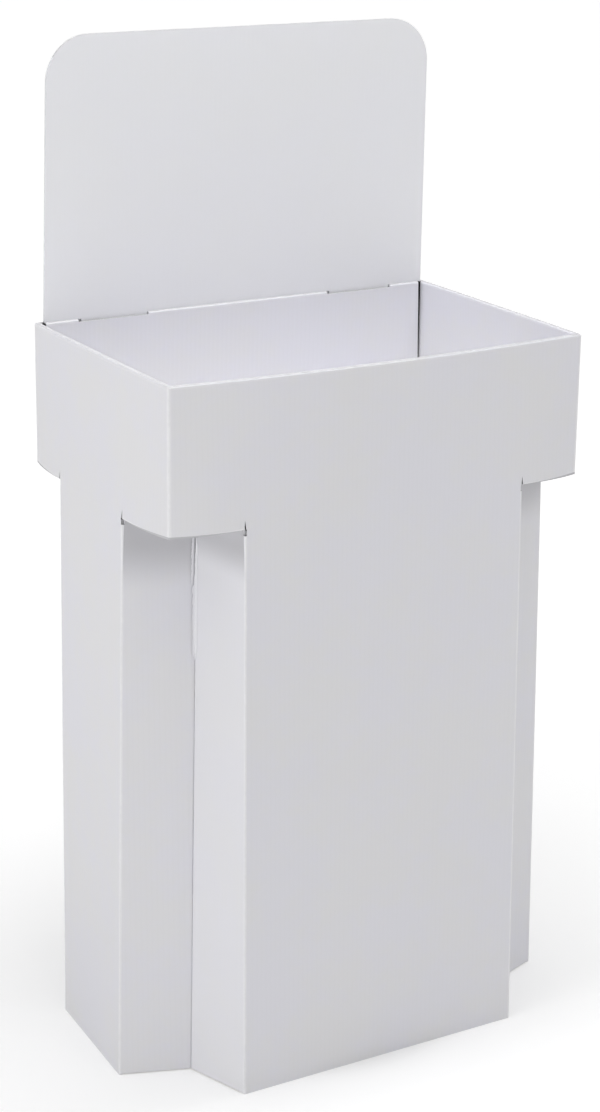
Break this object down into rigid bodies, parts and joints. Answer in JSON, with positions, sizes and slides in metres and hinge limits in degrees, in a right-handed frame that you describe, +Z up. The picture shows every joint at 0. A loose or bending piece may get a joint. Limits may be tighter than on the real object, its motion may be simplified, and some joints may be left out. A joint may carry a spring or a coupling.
{
  "type": "cardboard display stand",
  "caption": "Free-standing corrugated cardboard bin with a rolled rim, legs made by pushed-in corners, a loose shelf inside and a header card slotted into the back rim.",
  "frame": {"origin": "on the floor, under the middle of the stand's overall width and depth", "axes": "+Z up, -Y towards the front, +X to the viewer's right when facing the front"},
  "size_m": [0.6278, 0.419, 1.2559],
  "materials": {
    "carton_board": "matt white liner, unprinted",
    "shelf_board": "matt white liner, unprinted",
    "header_board": "matt white liner, unprinted"
  },
  "bodies": {
    "root": {"carton_body": "carton_board", "bin_shelf": "shelf_board", "header_card": "header_board"}
  },
  "joints": []
}
